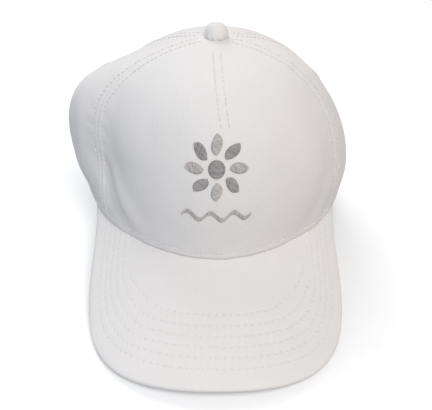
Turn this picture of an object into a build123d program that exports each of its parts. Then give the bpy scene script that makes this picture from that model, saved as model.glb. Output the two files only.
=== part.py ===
from build123d import *
import os
from math import asin, atan2, cos, exp, pi, radians, sin, sqrt, tan

# A structured five-panel cap with a pinched front, a curved visor and a plastic snap strap.
# Millimetres. +X is to the right of someone who faces the cap, the visor points along -Y, and
# Z is up. The cap stands on its back edge and on both sides of its visor, at z = 0. The origin
# is on that plane, below the button. A bearing is an angle about the button: 0 is the front
# and +90 degrees is +X. A climb runs from 0 at the crown's lower edge to 1 at the button.

# Crown shape
HALF_WIDTH = 84.0
FRONT_REACH = 87.0
BACK_REACH = 108.0
FRONT_PLAN_POWER = 1.76
BACK_PLAN_POWER = 2.2
CROWN_HEIGHT = 131.3
FRONT_RISE_POWER = 2.83
SIDE_RISE_POWER = 2.22
BACK_RISE_POWER = 2.24
BELLY = 4.3
LEVEL_BEARING = radians(150)

# Soft swells and a dent in the cloth: size, bearing, level, bearing spread, level spread, lift
SWELLS = (
    (13.0, radians(-86), 0.37, 0.30, 0.25, 0.7),
    (3.1, radians(-85), 0.06, 0.70, 0.16, 0.0),
    (3.0, radians(82), 0.05, 0.88, 0.28, 0.0),
    (-7.0, radians(-55), 0.22, 0.25, 0.18, 0.0),
)
SWELL_FREE_LEVEL = 0.10

# Panels and what lies under them
CLOTH = 0.8
BUCKRAM = 0.8
TAPE = 0.5
LAYER_GAP = 0.25
SEAM_GAP = 0.6
EDGE_LIFT = 0.35
LINING_BOTTOM = 0.01
BUTTON_HOLE_RADIUS = 3.0
FRONT_SEAM_BASE = radians(56)
FRONT_SEAM_TOP = radians(61.5)
FRONT_SEAM_BOW = radians(8.4)
SIDE_SEAM_BEARING = radians(118)
TAPE_HALF_WIDTH = 9.0
TAPE_TOP_RADIUS = 9.0
TAPE_SHARE_OF_RADIUS = 0.42
TAPE_STEP_START = 0.35
TAPE_STEP_SPAN = 0.3
BUCKRAM_INSET = 4.0
DART_END_HEIGHT = 106.7
DART_LEAN = 4.5
DART_GAP = 0.4
DART_TAPE_OVERLAP = 4.0

# Visor
VISOR_LENGTH = 71.9
VISOR_HALF_WIDTH = 74.8
VISOR_CORNER = radians(70.2)
VISOR_SIDE_POWER = 2.15
VISOR_FRONT_POWER = 5.1
VISOR_ARCH_RADIUS = 159.0
VISOR_SLOPE = radians(17.8)
VISOR_CENTRE_Z = 31.0
VISOR_COVER = 0.6
VISOR_BOARD = 1.8
VISOR_RIM = 1.1
VISOR_BACK_DEPTH = 2.8
VISOR_PLY_GAP = 0.1
VISOR_RIM_GAP = 0.3
VISOR_CORNER_SPAN = 0.5
VISOR_SLAB_TURN = radians(35)
VISOR_SLAB_LENGTH = 180.0
VISOR_THICKNESS = 2 * VISOR_COVER + VISOR_BOARD + 2 * VISOR_PLY_GAP

# Sweatband and its padding
SWEATBAND = 1.0
SWEATBAND_HEIGHT = 30.0
SWEATBAND_DEPTH = 3.2
SWEATBAND_END_DEPTH = 5.4
SWEATBAND_END = radians(155.8)
SWEATBAND_STEP = (radians(130), radians(146))
SWEATBAND_BACK_LIFT = 0.6
SWEATBAND_RISE_TURN = radians(15)
PADDING_BEARING = radians(44)
PADDING_MARGIN = 2.0
PADDING_DEPTH = 2.3
PADDING = 0.6

# Back opening and its binding
ARCH_HALF_WIDTH = 40.0
ARCH_WALL = 20.0
ARCH_HEIGHT = 58.0
BINDING = 0.5
BINDING_WIDTH = 7.0
BINDING_GAP = 0.1
BINDING_BLANK_TURN = radians(42)
BINDING_BLANK_CLIMB = 0.62

# Snap strap: bearings here are measured about the strap's own centre, from +Y towards +X
STRAP = 1.2
STRAP_WIDTH = 19.0
STRAP_BOTTOM = 1.0
STRAP_GAP = 0.3
STRAP_CORNER = 5.0
HOLE_STRAP_DEPTH = 2.3
HINGE_BEARING = radians(27.3)
TAB_BEARING = radians(38)
TAB_GAP = 0.15
HOLE_STRAP_TIP = radians(-19.4)
PEG_STRAP_TIP = radians(15)
PEG_RADIUS = 1.7
PEG_STAND = 0.3
PEG_HOLE_RADIUS = 2.45
PEG_PITCH = radians(5.5)
PEG_FIRST = radians(-21.5)
PEG_COUNT = 7

# Button
BUTTON_RADIUS = 7.2
BUTTON_HEIGHT = 8.2
BUTTON_CLOTH = 0.6
BUTTON_SHELL = 0.5
BUTTON_FOOT = 0.2
BUTTON_GAP = 0.1
BUTTON_ROUNDING = 0.78
PRONG_RADIUS = 1.5
PRONG_GAP = 0.15
BACKING_RADIUS = 7.5
BACKING = 0.9
BACKING_DEPTH = 3.6
BACKING_CHAMFER = 0.54

# Eyelets and labels
EYELET_HOLE = 2.4
EYELET_RADIUS = 4.4
EYELET_BEARINGS = (radians(96), radians(148))
EYELET_CLIMB = 0.53
EYELET_STITCH = 0.5
EYELET_RING = 0.5
LABEL = 0.3
LABEL_GAP = 0.15
SIZE_LABEL = (radians(0), radians(9), 8.0, 24.0)
CARE_LABEL = (radians(100), radians(7), 4.0, 27.0)

# Embroidered badge on the front panel
BADGE = 0.7
BADGE_GAP = 0.05
BADGE_BLANK_TURN = radians(24)
BADGE_BLANK_TOP = 42.0
BADGE_HEIGHT = 88.0
PETALS = 8
PETAL_WIDTH = 6.4
PETAL_INNER = 7.0
PETAL_OUTER = 17.0
BADGE_CENTRE_RADIUS = 4.8
WAVE_HEIGHT = 61.5
WAVE_LENGTH = 38.0
WAVE_SWING = 2.2
WAVE_STROKE = 2.6
WAVES = 3

# Grids that the smooth faces go through, and how far a cutter runs past what it cuts
ROWS = 25
PANEL_COLUMNS = 20
FRONT_COLUMNS = 28
TAPE_COLUMNS = 12
WALL_ROWS = 8
SWEATBAND_COLUMNS = 60
BINDING_ROWS = 14
FACE_TOLERANCE = 0.03
OVERRUN = 10.0


# ---------------------------------------------------------------- crown surface

def plan_radius(bearing):
    """Distance from the button's axis to the crown's lower edge."""
    front = cos(bearing) > 0
    reach = FRONT_REACH if front else BACK_REACH
    power = FRONT_PLAN_POWER if front else BACK_PLAN_POWER
    across = (abs(sin(bearing)) / HALF_WIDTH) ** power
    along = (abs(cos(bearing)) / reach) ** power
    return (across + along) ** (-1 / power)


def visor_height(x, y):
    """Height of the visor's upper surface: an arch across, falling towards its front."""
    arch = VISOR_ARCH_RADIUS - sqrt(VISOR_ARCH_RADIUS ** 2 - x ** 2)
    return VISOR_CENTRE_Z - arch - tan(VISOR_SLOPE) * (-y - FRONT_REACH)


def base_height(bearing):
    """Height of the crown's lower edge: along the visor, then easing down to the back."""
    turn = min(abs(atan2(sin(bearing), cos(bearing))), LEVEL_BEARING)
    edge = min(turn, VISOR_CORNER)
    radius = plan_radius(edge)
    height = visor_height(radius * sin(edge), -radius * cos(edge)) + EDGE_LIFT
    fall = (turn - edge) / (LEVEL_BEARING - VISOR_CORNER)
    return height * (1 + cos(pi * fall)) / 2


def rise_power(bearing):
    """How square the crown's profile is at a bearing."""
    end = FRONT_RISE_POWER if cos(bearing) > 0 else BACK_RISE_POWER
    return SIDE_RISE_POWER + (end - SIDE_RISE_POWER) * cos(bearing) ** 2


def crown_skin(bearing, climb):
    """Point of the crown's outer surface."""
    power = rise_power(bearing)
    tilt = climb * pi / 2
    size = (cos(tilt) ** power + sin(tilt) ** power) ** (-1 / power)
    level = 2 / pi * atan2(sin(tilt) ** (power / 2), cos(tilt) ** (power / 2))
    base = base_height(bearing)
    out = plan_radius(bearing) * size * cos(tilt)
    z = base + (CROWN_HEIGHT - base) * size * sin(tilt)
    side = BELLY * sin(pi * level) * sin(bearing)
    for amount, centre, height, turn_spread, level_spread, lift in SWELLS:
        turn = atan2(sin(bearing - centre), cos(bearing - centre)) / turn_spread
        rise = (level - height) / level_spread
        push = amount * exp(-turn ** 2 - rise ** 2) * min(level / SWELL_FREE_LEVEL, 1)
        out += push
        z += push * lift
    return Vector(out * sin(bearing) + side, -out * cos(bearing), z)


def crown_inward(bearing, climb):
    """Unit vector into the crown, square to its surface."""
    step = 0.002
    around = crown_skin(bearing + step, climb) - crown_skin(bearing - step, climb)
    upward = crown_skin(bearing, climb + step) - crown_skin(bearing, max(climb - step, 0))
    return upward.cross(around).normalized()


def crown_point(bearing, climb, depth):
    return crown_skin(bearing, climb) + crown_inward(bearing, climb) * depth


def climb_at_radius(radius):
    """Climb at which the crown has narrowed to a small circle round the button."""
    return 1 - 2 / pi * asin(radius / HALF_WIDTH)


def climb_at_height(bearing, height):
    """Climb at a height above the crown's lower edge, swells left out."""
    power = rise_power(bearing)
    share = height / (CROWN_HEIGHT - base_height(bearing))
    return 2 / pi * atan2(share, (1 - share ** power) ** (1 / power))


def skin_radius(bearing, climb):
    point = crown_skin(bearing, climb)
    return sqrt(point.X ** 2 + point.Y ** 2)


def front_seam(climb):
    """Bearing of the seam between the front panel and a side panel."""
    bow = FRONT_SEAM_BOW * 4 * climb * (1 - climb)
    return FRONT_SEAM_BASE + (FRONT_SEAM_TOP - FRONT_SEAM_BASE) * climb + bow


def side_seam(climb):
    """Bearing of the seam between a side panel and a back panel."""
    return SIDE_SEAM_BEARING


def back_seam(climb):
    return pi


# ---------------------------------------------------------------- sheet solids

def skin_face(point, depth, columns, rows):
    """Smooth face through point(u, v, depth)."""
    grid = [[point(i / columns, j / rows, depth) for j in range(rows + 1)]
            for i in range(columns + 1)]
    return Face.make_surface_from_array_of_points(grid, tol=FACE_TOLERANCE, min_deg=3, max_deg=3)


def sheet(point, columns, rows, depth, thickness):
    """Closed sheet between two faces through point(u, v, depth), joined round their edges."""
    outer = skin_face(point, depth, columns, rows)
    inner = skin_face(point, depth + thickness, columns, rows)
    faces = [outer, inner]
    for edge in outer.edges():
        partner = min(inner.edges(), key=lambda other: (other.center() - edge.center()).length)
        faces.append(Face.make_surface_from_curves(edge, partner))
    return Solid(Shell(faces))


def crown_sheet(low, high, depth, thickness, inset=SEAM_GAP / 2, top=BUTTON_HOLE_RADIUS,
                bottom=0.0, columns=PANEL_COLUMNS):
    """Sheet between two seams, given as bearings by climb, at a depth below the surface."""
    last = climb_at_radius(top)

    def point(u, v, level):
        climb = bottom + (last - bottom) * v
        first_seam = low(climb)
        last_seam = high(climb)
        first = first_seam + inset / skin_radius(first_seam, climb)
        second = last_seam - inset / skin_radius(last_seam, climb)
        return crown_point(first + (second - first) * u, climb, level)

    return sheet(point, columns, ROWS, depth, thickness)


def seam_tape(seam, sign, depth_before, depth_after):
    """Tape over the inside of a seam; its depth changes where the layers under it do."""
    last = climb_at_radius(TAPE_TOP_RADIUS)

    def point(u, v, level):
        climb = LINING_BOTTOM + (last - LINING_BOTTOM) * v
        middle = sign * seam(climb)
        radius = skin_radius(middle, climb)
        half = min(TAPE_HALF_WIDTH, TAPE_SHARE_OF_RADIUS * radius)
        bearing = middle + (2 * u - 1) * half / radius
        share = min(max((u - TAPE_STEP_START) / TAPE_STEP_SPAN, 0), 1)
        depth = depth_before + (depth_after - depth_before) * share
        return crown_point(bearing, climb, depth + level)

    return sheet(point, TAPE_COLUMNS, ROWS, 0, TAPE)


def wall_sheet(limit, bottom, top, depth, thickness, columns):
    """Upright band inside the crown from -limit to +limit, heights measured from its edge."""

    def point(u, v, level):
        bearing = limit * (2 * u - 1)
        height = bottom(bearing) + (top - bottom(bearing)) * v
        climb = climb_at_height(bearing, max(height, 0))
        inner = crown_point(bearing, climb, depth(bearing) + level)
        return inner + Vector(0, 0, min(height, 0))

    return sheet(point, columns, WALL_ROWS, 0, thickness)


def prism(face, direction, length):
    return extrude(face, amount=length, dir=direction)


# ---------------------------------------------------------------- crown panels

def dart_blade():
    """Thin leaning wedge that slits the front from the button down to the dart's end."""
    top = CROWN_HEIGHT + OVERRUN
    half = DART_GAP / 2
    corners = ((-half, top), (half, top), (DART_LEAN + half / 2, DART_END_HEIGHT),
               (DART_LEAN - half / 2, DART_END_HEIGHT))
    outline = Polyline(*[(x, 0, z) for x, z in corners], close=True)
    return prism(make_face(outline), (0, -1, 0), FRONT_REACH)


def dart_bearing(climb):
    """Bearing of the dart: it leans away from the middle as it comes down."""
    drop = (CROWN_HEIGHT - crown_skin(0, climb).Z) / (CROWN_HEIGHT - DART_END_HEIGHT)
    return asin(min(DART_LEAN * drop / skin_radius(0, climb), 0.5))


def arch_face(grow):
    """Outline of the back opening in the XZ plane, made larger by grow."""
    half = ARCH_HALF_WIDTH + grow
    top = ARCH_HEIGHT + grow
    lower = ((-half, 0, ARCH_WALL), (-half, 0, -OVERRUN), (half, 0, -OVERRUN),
             (half, 0, ARCH_WALL))
    dome = ThreePointArc(lower[-1], (0, 0, top), lower[0])
    return make_face(Polyline(*lower) + dome)


def arch_prism(grow):
    return prism(arch_face(grow), (0, 1, 0), BACK_REACH + OVERRUN)


def back_shell(depth, thickness):
    """Sheet over the lower back of the crown, as a blank for the binding."""

    def point(u, v, level):
        bearing = pi + BINDING_BLANK_TURN * (2 * u - 1)
        return crown_point(bearing, BINDING_BLANK_CLIMB * v, level)

    return sheet(point, PANEL_COLUMNS, BINDING_ROWS, depth, thickness)


def arch_binding():
    """Tape folded over the edge of the back opening."""
    outer = back_shell(-BINDING_GAP - BINDING, CLOTH + 2 * (BINDING_GAP + BINDING))
    inner = back_shell(-BINDING_GAP, CLOTH + 2 * BINDING_GAP)
    band = arch_prism(BINDING_WIDTH) - arch_prism(-BINDING_GAP - BINDING)
    core = arch_prism(BINDING_WIDTH + OVERRUN) - arch_prism(-BINDING_GAP)
    return (outer & band) - (inner & core)


def make_panels():
    """The five outer panels."""
    opening = arch_prism(0)
    front = crown_sheet(lambda t: -front_seam(t), front_seam, 0, CLOTH,
                        columns=FRONT_COLUMNS)
    parts = {"front_panel": front - dart_blade()}
    parts["side_panel_right"] = crown_sheet(front_seam, side_seam, 0, CLOTH)
    parts["side_panel_left"] = crown_sheet(lambda t: -side_seam(t), lambda t: -front_seam(t),
                                           0, CLOTH)
    parts["back_panel_right"] = crown_sheet(side_seam, back_seam, 0, CLOTH) - opening
    parts["back_panel_left"] = crown_sheet(lambda t: -back_seam(t), lambda t: -side_seam(t),
                                           0, CLOTH) - opening
    for side, sign in (("left", -1), ("right", 1)):
        panels = (f"side_panel_{side}", f"back_panel_{side}")
        for panel, bearing in zip(panels, EYELET_BEARINGS):
            parts[panel] -= eyelet_tube(sign * bearing, EYELET_HOLE + LAYER_GAP)
    return parts


def make_linings():
    """Stiffener behind the front panel, and the tapes over the seams."""
    opening = arch_prism(BINDING_WIDTH + 2 * BINDING)
    over_cloth = CLOTH + LAYER_GAP
    over_buckram = over_cloth + BUCKRAM + LAYER_GAP
    buckram = crown_sheet(lambda t: -front_seam(t), front_seam, over_cloth, BUCKRAM,
                          inset=BUCKRAM_INSET, top=TAPE_TOP_RADIUS, bottom=LINING_BOTTOM,
                          columns=FRONT_COLUMNS)
    parts = {"front_buckram": buckram - dart_blade()}
    parts["front_seam_tape_left"] = seam_tape(front_seam, -1, over_cloth, over_buckram)
    parts["front_seam_tape_right"] = seam_tape(front_seam, 1, over_buckram, over_cloth)
    parts["side_seam_tape_left"] = seam_tape(side_seam, -1, over_cloth, over_cloth)
    parts["side_seam_tape_right"] = seam_tape(side_seam, 1, over_cloth, over_cloth)
    parts["back_seam_tape"] = seam_tape(back_seam, 1, over_cloth, over_cloth) - opening
    dart_tape = seam_tape(dart_bearing, 1, over_buckram, over_buckram)
    middle = (Align.CENTER, Align.CENTER, Align.MIN)
    upper = Box(2 * HALF_WIDTH, 2 * BACK_REACH, CROWN_HEIGHT, align=middle)
    parts["dart_tape"] = dart_tape & (Pos(0, 0, DART_END_HEIGHT - DART_TAPE_OVERLAP) * upper)
    parts["arch_binding"] = arch_binding()
    return parts


# ---------------------------------------------------------------- eyelets and badge

def surface_plane(bearing, climb, depth):
    """Plane on the crown whose normal points outwards."""
    return Plane(crown_point(bearing, climb, depth), z_dir=-crown_inward(bearing, climb))


def eyelet_tube(bearing, radius):
    plane = surface_plane(bearing, EYELET_CLIMB, CLOTH / 2)
    return plane * Cylinder(radius, 4 * CLOTH)


def eyelet(bearing):
    """Ring of stitches round a vent hole: a collar outside and a lining through the cloth."""
    low = (Align.CENTER, Align.CENTER, Align.MIN)
    lining = Cylinder(EYELET_HOLE, CLOTH + 2 * LAYER_GAP, align=low)
    collar = Pos(0, 0, CLOTH + 2 * LAYER_GAP) * Cylinder(EYELET_RADIUS, EYELET_STITCH, align=low)
    bore = Cylinder(EYELET_HOLE - EYELET_RING, OVERRUN)
    return surface_plane(bearing, EYELET_CLIMB, CLOTH) * (lining + collar - bore)


def make_eyelets():
    rings = [eyelet(sign * bearing) for sign in (-1, 1) for bearing in EYELET_BEARINGS]
    return {"eyelet_stitching": Compound(children=rings)}


def petal(turn):
    """Lens outline that points away from the badge's centre."""
    middle = (PETAL_INNER + PETAL_OUTER) / 2
    half = PETAL_WIDTH / 2
    right = ThreePointArc((0, PETAL_INNER), (half, middle), (0, PETAL_OUTER))
    left = ThreePointArc((0, PETAL_OUTER), (-half, middle), (0, PETAL_INNER))
    return Rot(0, 0, turn) * make_face(right + left)


def wave():
    """Ribbon that follows a sine line."""
    steps = 8 * WAVES
    upper = []
    lower = []
    for i in range(steps + 1):
        x = WAVE_LENGTH * (i / steps - 0.5)
        y = WAVE_SWING * sin(2 * pi * WAVES * i / steps)
        upper.append((x, y + WAVE_STROKE / 2))
        lower.append((x, y - WAVE_STROKE / 2))
    ends = Line(upper[-1], lower[-1]) + Line(lower[0], upper[0])
    return make_face(Spline(*upper) + ends + Spline(*lower))


def make_badge():
    """Padded satin embroidery: a flower of petals above a wave, laid over the front panel."""
    blank = crown_sheet(lambda t: -BADGE_BLANK_TURN, lambda t: BADGE_BLANK_TURN,
                        -BADGE - BADGE_GAP, BADGE, top=BADGE_BLANK_TOP)
    flower = Circle(BADGE_CENTRE_RADIUS)
    shapes = [flower] + [petal(360 / PETALS * i) for i in range(PETALS)]
    front = Plane((0, 0, 0), x_dir=(1, 0, 0), z_dir=(0, -1, 0))
    pieces = []
    for shape in shapes:
        cutter = extrude(front * Pos(0, BADGE_HEIGHT) * shape, amount=FRONT_REACH + OVERRUN)
        pieces += (blank & cutter).solids()
    cutter = extrude(front * Pos(0, WAVE_HEIGHT) * wave(), amount=FRONT_REACH + OVERRUN)
    pieces += (blank & cutter).solids()
    return {"front_badge": Compound(children=pieces)}


# ---------------------------------------------------------------- button

def dome(radius, height, wall):
    """Open cup, rounded on top, standing on z = 0."""
    low = (Align.CENTER, Align.CENTER, Align.MIN)
    outside = Cylinder(radius, height, align=low)
    outside = fillet(outside.edges().sort_by(Axis.Z)[-1], height * BUTTON_ROUNDING)
    inside = Cylinder(radius - wall, height - wall, align=low)
    inside = fillet(inside.edges().sort_by(Axis.Z)[-1], (height - wall) * BUTTON_ROUNDING)
    return outside - inside


def make_button():
    """Cloth-covered button held through the crown by a prong and a backing disc."""
    foot = CROWN_HEIGHT + BUTTON_FOOT
    cover = Pos(0, 0, foot) * dome(BUTTON_RADIUS, BUTTON_HEIGHT, BUTTON_CLOTH)
    shell_radius = BUTTON_RADIUS - BUTTON_CLOTH - BUTTON_GAP
    shell_height = BUTTON_HEIGHT - BUTTON_CLOTH - BUTTON_GAP
    shell = Pos(0, 0, foot) * dome(shell_radius, shell_height, BUTTON_SHELL)
    low = (Align.CENTER, Align.CENTER, Align.MIN)
    backing_top = CROWN_HEIGHT - BACKING_DEPTH
    prong_length = foot + shell_height - BUTTON_SHELL - PRONG_GAP - backing_top
    prong = Pos(0, 0, backing_top) * Cylinder(PRONG_RADIUS, prong_length, align=low)
    backing = Cylinder(BACKING_RADIUS, BACKING, align=low)
    backing = chamfer(backing.edges().sort_by(Axis.Z)[0], BACKING_CHAMFER)
    backing = Pos(0, 0, backing_top - BACKING) * backing
    return {"button_cover": cover, "button_shell": shell, "button_prong": prong,
            "button_backing": backing}


# ---------------------------------------------------------------- visor

def visor_outline(inset, back_depth):
    """Plan outline of the visor, drawn in from its rim by inset."""
    corner_radius = plan_radius(VISOR_CORNER)
    corner_x = corner_radius * sin(VISOR_CORNER) - inset
    corner_y = -corner_radius * cos(VISOR_CORNER)
    length = FRONT_REACH + VISOR_LENGTH + corner_y - inset
    half_width = VISOR_HALF_WIDTH - inset
    points = []
    for share in (1, 0.93, 0.86, 0.78, 0.7, 0.62, 0.54, 0.45, 0.36, 0.27, 0.18, 0.09, 0):
        turn = share * pi / 2
        forward = sin(turn) ** (2 / VISOR_FRONT_POWER)
        across = (1 - forward ** VISOR_FRONT_POWER) ** (1 / VISOR_SIDE_POWER)
        reached = min(forward / VISOR_CORNER_SPAN, 1)
        blend = reached ** 2 * (3 - 2 * reached)
        x = across * (corner_x + (half_width - corner_x) * blend)
        points.append((x, corner_y - length * forward))
    mirrored = [(-x, y) for x, y in points[:0:-1]]
    rim = Spline(*(mirrored + points))
    back = []
    for i in range(-6, 7):
        bearing = VISOR_CORNER * i / 6
        radius = plan_radius(bearing) - back_depth
        back.append((radius * sin(bearing), -radius * cos(bearing)))
    inner = Spline(*back)
    ends = Line(rim @ 1, inner @ 1) + Line(inner @ 0, rim @ 0)
    return make_face(rim + ends + inner)


def visor_slab(first, last):
    """Arched slab between two depths below the visor's upper surface."""
    half = VISOR_SLAB_TURN
    centre_z = VISOR_CENTRE_Z + tan(VISOR_SLOPE) * FRONT_REACH - VISOR_ARCH_RADIUS

    def edge_point(radius, turn):
        return (radius * sin(turn), 0, centre_z + radius * cos(turn))

    upper = VISOR_ARCH_RADIUS - first
    lower = VISOR_ARCH_RADIUS - last
    over = ThreePointArc(*[edge_point(upper, turn) for turn in (-half, 0, half)])
    under = ThreePointArc(*[edge_point(lower, turn) for turn in (half, 0, -half)])
    ends = Line(over @ 1, under @ 0) + Line(under @ 1, over @ 0)
    down_slope = (0, -cos(VISOR_SLOPE), -sin(VISOR_SLOPE))
    return prism(make_face(over + ends + under), down_slope, VISOR_SLAB_LENGTH)


def visor_prism(inset, back_depth):
    return extrude(visor_outline(inset, back_depth), amount=CROWN_HEIGHT, both=True)


def make_visor():
    """Board between an upper cover that is turned down round its rim and an under cover."""
    board_top = VISOR_COVER + VISOR_PLY_GAP
    board_bottom = board_top + VISOR_BOARD
    under_top = board_bottom + VISOR_PLY_GAP
    full = visor_prism(0, VISOR_BACK_DEPTH)
    inner = visor_prism(VISOR_RIM + VISOR_RIM_GAP, VISOR_BACK_DEPTH)
    core = visor_prism(VISOR_RIM, VISOR_BACK_DEPTH + OVERRUN)
    cover = (visor_slab(0, VISOR_THICKNESS) & full) - (visor_slab(VISOR_COVER, OVERRUN) & core)
    board = visor_slab(board_top, board_bottom) & inner
    under = visor_slab(under_top, VISOR_THICKNESS) & inner
    return {"visor_top_cover": cover, "visor_board": board, "visor_under_cover": under}


# ---------------------------------------------------------------- sweatband and labels

def sweatband_depth(bearing):
    """The band steps inwards at the back, where the strap's ends are sewn behind it."""
    start, end = SWEATBAND_STEP
    share = min(max((abs(bearing) - start) / (end - start), 0), 1)
    smooth = share ** 2 * (3 - 2 * share)
    return SWEATBAND_DEPTH + (SWEATBAND_END_DEPTH - SWEATBAND_DEPTH) * smooth


def sweatband_bottom(bearing):
    """The band covers the visor's back edge and stays off the ground behind it."""
    past = min(max((abs(bearing) - VISOR_CORNER) / SWEATBAND_RISE_TURN + 1, 0), 1)
    smooth = past ** 2 * (3 - 2 * past)
    return -VISOR_THICKNESS + (VISOR_THICKNESS + SWEATBAND_BACK_LIFT) * smooth


def make_sweatband():
    band = wall_sheet(SWEATBAND_END, sweatband_bottom, SWEATBAND_HEIGHT, sweatband_depth,
                      SWEATBAND, SWEATBAND_COLUMNS)
    padding = wall_sheet(PADDING_BEARING, lambda b: PADDING_MARGIN,
                         SWEATBAND_HEIGHT - PADDING_MARGIN, lambda b: PADDING_DEPTH, PADDING,
                         PANEL_COLUMNS)
    return {"sweatband": band, "sweatband_padding": padding}


def label(bearing, half_turn, bottom, top):
    """Blank sewn label on the inside of the sweatband."""

    def point(u, v, level):
        turn = bearing + half_turn * (2 * u - 1)
        climb = climb_at_height(turn, bottom + (top - bottom) * v)
        return crown_point(turn, climb, level)

    return sheet(point, WALL_ROWS, WALL_ROWS, SWEATBAND_DEPTH + SWEATBAND + LABEL_GAP, LABEL)


def make_labels():
    return {"size_label": label(*SIZE_LABEL), "care_label": label(*CARE_LABEL)}


# ---------------------------------------------------------------- snap strap

ARCH_SHARE = (ARCH_HALF_WIDTH / HALF_WIDTH) ** BACK_PLAN_POWER
STRAP_SAG = BACK_REACH * (1 - (1 - ARCH_SHARE) ** (1 / BACK_PLAN_POWER))
STRAP_RADIUS = (ARCH_HALF_WIDTH ** 2 + STRAP_SAG ** 2) / (2 * STRAP_SAG)
STRAP_CENTRE_Y = BACK_REACH - STRAP_RADIUS
HOLE_STRAP_OUTSIDE = STRAP_RADIUS - HOLE_STRAP_DEPTH
PEG_STRAP_OUTSIDE = HOLE_STRAP_OUTSIDE - STRAP - STRAP_GAP


def strap_point(radius, bearing):
    return Vector(radius * sin(bearing), STRAP_CENTRE_Y + radius * cos(bearing))


def strap_arc(outside, start, end):
    """Upright curved bar between two bearings about the strap's centre."""
    inside = outside - STRAP
    middle = (start + end) / 2
    outer = ThreePointArc(*[strap_point(outside, turn) for turn in (start, middle, end)])
    inner = ThreePointArc(*[strap_point(inside, turn) for turn in (end, middle, start)])
    ends = Line(outer @ 1, inner @ 0) + Line(inner @ 1, outer @ 0)
    return Pos(0, 0, STRAP_BOTTOM) * extrude(make_face(outer + ends + inner), amount=STRAP_WIDTH)


def strap_peg(bearing, first, last, radius):
    """Round bar square to the strap, between two distances from the strap's centre."""
    start = strap_point(first, bearing)
    outward = Vector(sin(bearing), cos(bearing))
    plane = Plane((start.X, start.Y, STRAP_BOTTOM + STRAP_WIDTH / 2), z_dir=outward)
    return plane * Cylinder(radius, last - first, align=(Align.CENTER, Align.CENTER, Align.MIN))


def free_strap(outside, hinge, tip):
    """Moving part of a strap, with a rounded hinge edge and rounded tip corners."""
    middle = outside - STRAP / 2
    bar = strap_arc(outside, min(hinge, tip), max(hinge, tip))
    pivot = strap_point(middle, hinge)
    low = (Align.CENTER, Align.CENTER, Align.MIN)
    knuckle = Cylinder(STRAP / 2, STRAP_WIDTH, align=low)
    bar += Pos(pivot.X, pivot.Y, STRAP_BOTTOM) * knuckle
    corners = [edge for edge in bar.edges().filter_by(GeomType.LINE)
               if abs(edge.length - STRAP) < FACE_TOLERANCE
               and (edge.center() - strap_end(middle, tip, edge.center().Z)).length < STRAP]
    return fillet(corners, STRAP_CORNER)


def strap_end(radius, bearing, z):
    point = strap_point(radius, bearing)
    return Vector(point.X, point.Y, z)


def make_straps():
    """Two plastic straps that snap together, and the tabs that are sewn behind the panels."""
    knuckle_turn = (STRAP / 2 + TAB_GAP) / STRAP_RADIUS
    tab_start = HINGE_BEARING + knuckle_turn
    hole_strap = free_strap(HOLE_STRAP_OUTSIDE, HINGE_BEARING, HOLE_STRAP_TIP)
    peg_strap = free_strap(PEG_STRAP_OUTSIDE, -HINGE_BEARING, PEG_STRAP_TIP)
    peg_end = HOLE_STRAP_OUTSIDE + PEG_STAND
    for i in range(PEG_COUNT):
        peg_bearing = PEG_FIRST + PEG_PITCH * i
        hole_bearing = peg_bearing + PEG_PITCH
        hole = strap_peg(hole_bearing, PEG_STRAP_OUTSIDE, peg_end, PEG_HOLE_RADIUS)
        peg = strap_peg(peg_bearing, PEG_STRAP_OUTSIDE - STRAP / 2, peg_end, PEG_RADIUS)
        peg = fillet(peg.edges().filter_by(GeomType.CIRCLE).sort_by(Axis.Y)[-1], PEG_STAND)
        hole_strap -= hole
        peg_strap += peg
    return {"hole_strap": hole_strap,
            "peg_strap": peg_strap,
            "hole_strap_tab": strap_arc(HOLE_STRAP_OUTSIDE, tab_start, TAB_BEARING),
            "peg_strap_tab": strap_arc(PEG_STRAP_OUTSIDE, -TAB_BEARING, -tab_start)}


# ---------------------------------------------------------------- write the parts

def main():
    os.makedirs("parts", exist_ok=True)
    builders = (make_panels, make_linings, make_eyelets, make_badge, make_button, make_visor,
                make_sweatband, make_labels, make_straps)
    for builder in builders:
        for name, shape in builder().items():
            export_step(shape, f"parts/{name}.step")
    hinge = strap_point(HOLE_STRAP_OUTSIDE - STRAP / 2, HINGE_BEARING)
    print(f"hole strap hinge at x {hinge.X:.3f}, y {hinge.Y:.3f}")
    hinge = strap_point(PEG_STRAP_OUTSIDE - STRAP / 2, -HINGE_BEARING)
    print(f"peg strap hinge at x {hinge.X:.3f}, y {hinge.Y:.3f}")


main()
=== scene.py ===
from math import asin, atan2, cos, pi, radians, sin

import bpy
import numpy as np
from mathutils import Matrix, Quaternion, Vector
from mathutils.bvhtree import BVHTree
from mathutils.kdtree import KDTree


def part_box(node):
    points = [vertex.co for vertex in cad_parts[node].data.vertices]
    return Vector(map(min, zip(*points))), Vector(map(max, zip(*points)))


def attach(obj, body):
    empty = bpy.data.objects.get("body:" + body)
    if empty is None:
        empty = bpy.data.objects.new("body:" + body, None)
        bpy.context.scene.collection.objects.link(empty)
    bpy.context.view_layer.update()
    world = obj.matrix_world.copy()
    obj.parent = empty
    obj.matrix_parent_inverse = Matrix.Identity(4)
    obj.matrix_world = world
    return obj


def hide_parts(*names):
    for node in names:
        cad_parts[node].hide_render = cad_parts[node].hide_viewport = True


# A white five-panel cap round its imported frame. Lengths are millimetres until a mesh is made.
# A bearing is an angle about the button's axis: 0 is the front and +90 degrees is +X. A rise is
# the angle above a centre point inside the crown.
MM = 0.001
TURN = 2 * pi
CENTRE = np.array([0.0, 0.0, 45.0])
MAP_STEP = radians(0.75)
MAP_LOW = radians(-40)
RAY_START = 260.0
NEAREST_SKIN = 20.0
TOP_RISE = radians(88.2)
ARCH_HALF = 40.0
ARCH_WALL = 20.0
ARCH_TOP = 58.0
ARCH_DROP = ARCH_TOP - ARCH_WALL
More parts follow.
